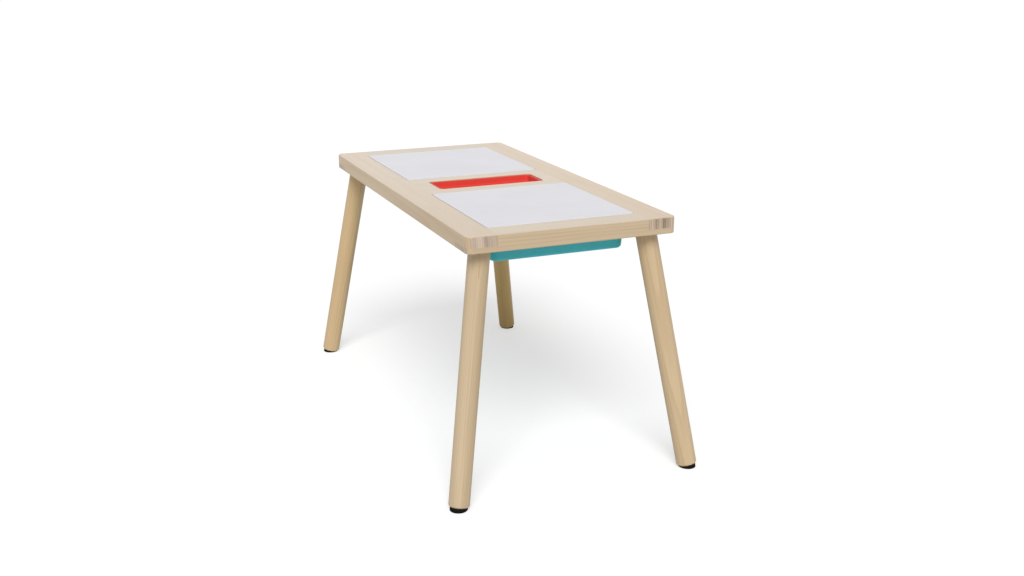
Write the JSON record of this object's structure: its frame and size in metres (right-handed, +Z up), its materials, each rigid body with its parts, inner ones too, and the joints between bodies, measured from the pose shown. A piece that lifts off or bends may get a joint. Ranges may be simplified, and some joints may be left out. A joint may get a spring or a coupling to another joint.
{
  "type": "sensory table",
  "caption": "Low wooden play table for children with lift-off lids over hanging bins, a drop-in pencil tray between them, and splayed round legs on foot pads.",
  "frame": {"origin": "on the floor, at the centre of the four feet, under the middle of the table top", "axes": "+X along the table's length towards the front end, +Y along its width towards the right side, +Z up"},
  "size_m": [0.9168, 0.4948, 0.4805],
  "materials": {
    "frame_wood": "pale softwood, clear matt lacquer",
    "dowel_wood": "plain beech",
    "leg_wood": "pale softwood, clear matt lacquer",
    "foot_rubber": "black, matt",
    "zinc_steel": "zinc plated",
    "lid_white": "fibreboard faced with satin white laminate",
    "bin_turquoise": "moulded polypropylene, fine matt",
    "tray_red": "moulded polypropylene, satin"
  },
  "bodies": {
    "table": {"side_rail_left": "frame_wood", "side_rail_right": "frame_wood", "end_rail_front": "frame_wood", "end_rail_back": "frame_wood", "middle_board": "frame_wood", "middle_dowels": "dowel_wood", "leg_front_left": "leg_wood", "leg_front_right": "leg_wood", "leg_back_left": "leg_wood", "leg_back_right": "leg_wood", "foot_front_left": "foot_rubber", "foot_front_right": "foot_rubber", "foot_back_left": "foot_rubber", "foot_back_right": "foot_rubber", "leg_bolts": "zinc_steel", "leg_inserts": "zinc_steel", "foot_screws": "zinc_steel"},
    "front_bin": {"bin_front": "bin_turquoise"},
    "front_lid": {"lid_front": "lid_white"},
    "back_bin": {"bin_back": "bin_turquoise"},
    "back_lid": {"lid_back": "lid_white"},
    "tray": {"pencil_tray": "tray_red"}
  },
  "joints": [
    {"name": "bin_front_lift", "type": "slide", "parent": "table", "child": "front_bin", "axis": [0, 0, 1], "range_m": [0, 0.09]},
    {"name": "lid_front_lift", "type": "slide", "parent": "front_bin", "child": "front_lid", "axis": [0, 0, 1], "range_m": [0, 0.06]},
    {"name": "bin_back_lift", "type": "slide", "parent": "table", "child": "back_bin", "axis": [0, 0, 1], "range_m": [0, 0.09]},
    {"name": "lid_back_lift", "type": "slide", "parent": "back_bin", "child": "back_lid", "axis": [0, 0, 1], "range_m": [0, 0.06]},
    {"name": "tray_lift", "type": "slide", "parent": "table", "child": "tray", "axis": [0, 0, 1], "range_m": [0, 0.04]}
  ]
}
